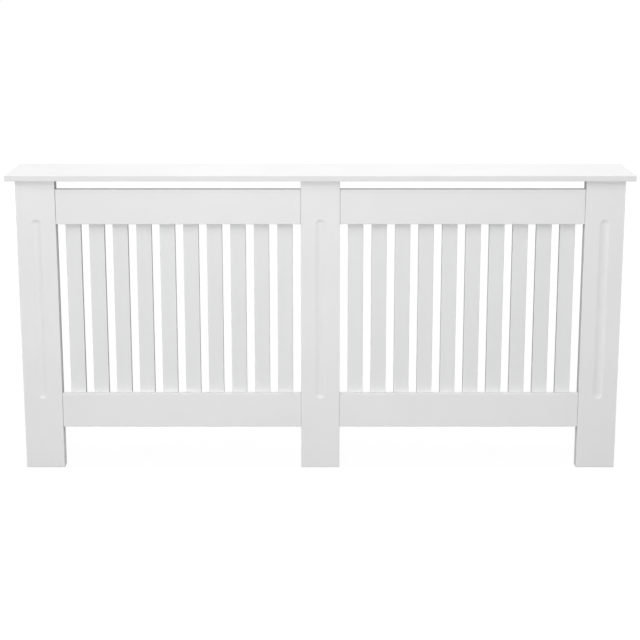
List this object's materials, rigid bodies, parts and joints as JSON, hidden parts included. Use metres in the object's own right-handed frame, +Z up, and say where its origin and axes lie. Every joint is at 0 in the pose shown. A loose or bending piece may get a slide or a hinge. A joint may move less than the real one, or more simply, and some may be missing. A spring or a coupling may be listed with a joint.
{
  "type": "radiator cover cabinet",
  "caption": "Long white painted radiator cover with a flat shelf top, fluted posts and two bays of vertical slats, open at the back, below the shelf and at the floor.",
  "frame": {"origin": "on the floor, below the middle of the shelf", "axes": "+X along the wall to the right as seen from the room, +Y from the room to the wall, +Z up"},
  "size_m": [1.72, 0.2, 0.845],
  "materials": {
    "paint": "white satin furniture paint on smooth MDF",
    "zinc": "die-cast zinc, dull",
    "steel": "bright zinc-plated steel",
    "beech": "raw turned beech"
  },
  "bodies": {
    "root": {"bottom_rail_left": "paint", "bottom_rail_right": "paint", "bracket_screws": "steel", "cam_bolts": "steel", "cam_locks": "zinc", "post_centre": "paint", "post_left": "paint", "post_right": "paint", "rail_biscuits": "beech", "shelf_dowels": "beech", "side_dowels": "beech", "side_panel_left": "paint", "side_panel_right": "paint", "slat_left_01": "paint", "slat_left_02": "paint", "slat_left_03": "paint", "slat_left_04": "paint", "slat_left_05": "paint", "slat_left_06": "paint", "slat_left_07": "paint", "slat_left_08": "paint", "slat_left_09": "paint", "slat_left_10": "paint", "slat_right_01": "paint", "slat_right_02": "paint", "slat_right_03": "paint", "slat_right_04": "paint", "slat_right_05": "paint", "slat_right_06": "paint", "slat_right_07": "paint", "slat_right_08": "paint", "slat_right_09": "paint", "slat_right_10": "paint", "top_rail_left": "paint", "top_rail_right": "paint", "top_shelf": "paint", "wall_bracket_left": "steel", "wall_bracket_right": "steel"}
  },
  "joints": []
}
